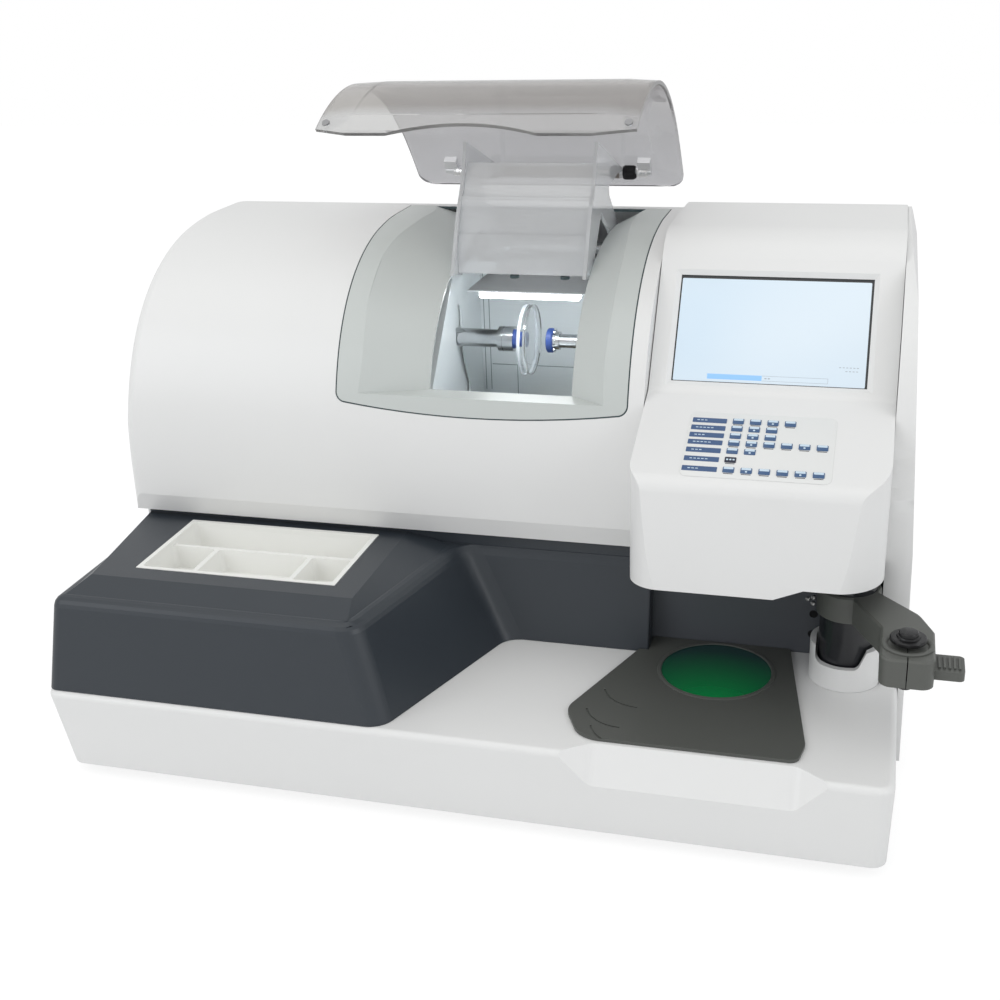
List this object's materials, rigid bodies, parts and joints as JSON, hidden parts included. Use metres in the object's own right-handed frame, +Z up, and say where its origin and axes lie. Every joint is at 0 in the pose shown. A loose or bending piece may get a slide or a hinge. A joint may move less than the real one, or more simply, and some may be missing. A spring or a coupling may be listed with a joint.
{
  "type": "automatic lens faceting machine",
  "caption": "Table-top machine that grinds spectacle lens edges: white barrel housing, smoked lid over a grinding chamber, screen console, lens blocker and accessory tray.",
  "frame": {"origin": "middle of the overall box at floor level, lid open as stored", "axes": "+X to the operator's right, +Y to the back, +Z up; the operator stands at -Y"},
  "size_m": [0.7178, 0.5214, 0.5316],
  "materials": {
    "white_housing": "fine satin moulded housing",
    "dark_housing": "fine textured dark grey",
    "grey_bezel": "satin silver grey",
    "seal_rubber": "matt",
    "foot_rubber": "matt",
    "chassis_steel": "powder coated",
    "stainless": "brushed",
    "shaft_steel": "ground",
    "bright_steel": "polished",
    "cast_frame": "cast and machined",
    "motor_iron": "painted",
    "wheel_metal": "diamond coated rim",
    "smoked_plastic": "smoked transparent lid",
    "clear_plastic": "clear guard",
    "lens_glass": "clear lens",
    "green_window": "green diffusing window",
    "ivory_plastic": "ivory tray",
    "blue_pad": "soft pad",
    "screen": "display",
    "overlay_film": "printed membrane",
    "circuit": "circuit board",
    "lamp_plastic": "lamp diffuser",
    "black_plastic": "moulded",
    "belt_rubber": "toothed belt"
  },
  "bodies": {
    "base": {"base_tray": "white_housing", "chassis_plate": "chassis_steel", "rubber_feet": "foot_rubber", "dark_side_cover": "dark_housing", "main_cover": "white_housing", "rear_cover": "chassis_steel", "right_side_cover": "white_housing", "console_cover": "white_housing", "console_base": "dark_housing", "stage_back_panel": "dark_housing", "lcd_module": "screen", "keypad_overlay": "overlay_film", "control_board": "circuit", "power_supply": "stainless", "power_inlet": "black_plastic", "cover_screws": "bright_steel", "chamber_bezel": "grey_bezel", "bezel_gasket": "seal_rubber", "chamber_liner": "stainless", "water_nozzle": "bright_steel", "chamber_lamp": "lamp_plastic", "spindle_bearings": "cast_frame", "drive_belt": "belt_rubber", "wheel_motor": "motor_iron", "carriage_supports": "cast_frame", "carriage_pivot_shaft": "shaft_steel", "lid_hinge_supports": "cast_frame", "lid_hinge_shaft": "shaft_steel", "stage_plate": "dark_housing", "stage_window": "green_window", "stage_lamp_board": "circuit", "blocker_collar": "white_housing"},
    "lid": {"lid_shell": "smoked_plastic", "lid_screws": "bright_steel", "guard_side_plates": "clear_plastic", "guard_sheet": "clear_plastic", "guard_bumpers": "seal_rubber", "guard_crossbar": "bright_steel"},
    "carriage": {"lens_carriage": "cast_frame", "lens_drive_motor": "motor_iron", "lens_drive_belt": "belt_rubber"},
    "left_spindle": {"left_lens_shaft": "shaft_steel", "lens_drive_pulley": "cast_frame", "lens_block": "black_plastic", "demo_lens": "lens_glass"},
    "lens_motor_rotor": {"lens_motor_pulley": "cast_frame"},
    "clamp": {"clamp_carrier": "shaft_steel"},
    "right_spindle": {"right_lens_shaft": "shaft_steel", "clamp_pad": "blue_pad"},
    "wheel_set": {"wheel_spindle": "shaft_steel", "roughing_wheel": "wheel_metal", "finishing_wheel": "wheel_metal", "spindle_pulley": "cast_frame"},
    "motor_rotor": {"motor_pulley": "cast_frame"},
    "blocker_turret": {"blocker_post": "shaft_steel"},
    "blocker_head": {"blocker_sleeve": "dark_housing", "blocker_arm": "dark_housing"},
    "plunger": {"blocker_plunger": "black_plastic"},
    "tray": {"accessory_tray": "ivory_plastic"},
    "switch_rocker": {"power_switch": "black_plastic"}
  },
  "joints": [
    {"name": "lid_hinge", "type": "hinge", "parent": "base", "child": "lid", "pos_m": [-0.01989, 0.17894, 0.362], "axis": [1, 0, 0], "range_deg": [0, 50]},
    {"name": "carriage_swing", "type": "hinge", "parent": "base", "child": "carriage", "pos_m": [-0.01989, 0.22394, 0.3], "axis": [1, 0, 0], "range_deg": [-10, 29]},
    {"name": "lens_spin", "type": "hinge", "parent": "carriage", "child": "left_spindle", "pos_m": [-0.10989, 0.10294, 0.2905], "axis": [1, 0, 0], "continuous": true},
    {"name": "lens_motor_spin", "type": "hinge", "parent": "carriage", "child": "lens_motor_rotor", "pos_m": [-0.18989, 0.1488, 0.2941], "axis": [1, 0, 0], "continuous": true},
    {"name": "clamp_slide", "type": "slide", "parent": "carriage", "child": "clamp", "axis": [-1, 0, 0], "range_m": [0, 0.017]},
    {"name": "right_shaft_spin", "type": "hinge", "parent": "clamp", "child": "right_spindle", "pos_m": [0.08011, 0.10294, 0.2905], "axis": [1, 0, 0], "continuous": true},
    {"name": "wheel_spin", "type": "hinge", "parent": "base", "child": "wheel_set", "pos_m": [-0.01989, 0.12494, 0.148], "axis": [1, 0, 0], "continuous": true},
    {"name": "motor_spin", "type": "hinge", "parent": "base", "child": "motor_rotor", "pos_m": [0.15011, 0.19394, 0.066], "axis": [1, 0, 0], "continuous": true},
    {"name": "blocker_turn", "type": "hinge", "parent": "base", "child": "blocker_turret", "pos_m": [0.27511, -0.10106, 0.15], "axis": [0, 0, 1], "range_deg": [-105.5, 0]},
    {"name": "blocker_press", "type": "slide", "parent": "blocker_turret", "child": "blocker_head", "axis": [0, 0, 1], "range_m": [-0.023, 0], "stiffness_N_per_m": 400, "springref_m": 0.02},
    {"name": "plunger_press", "type": "slide", "parent": "blocker_head", "child": "plunger", "axis": [0, 0, 1], "range_m": [-0.0035, 0], "stiffness_N_per_m": 300, "springref_m": 0.004},
    {"name": "tray_lift", "type": "slide", "parent": "base", "child": "tray", "axis": [0, 0, 1], "range_m": [0, 0.06]},
    {"name": "switch_rock", "type": "hinge", "parent": "base", "child": "switch_rocker", "pos_m": [-0.22489, 0.25094, 0.11], "axis": [1, 0, 0], "range_deg": [0, 16]}
  ],
  "couplings": [
    {"joint": "right_shaft_spin", "follows": "lens_spin", "ratio": 1},
    {"joint": "lens_motor_spin", "follows": "lens_spin", "ratio": 2.75},
    {"joint": "motor_spin", "follows": "wheel_spin", "ratio": 1.3333}
  ]
}
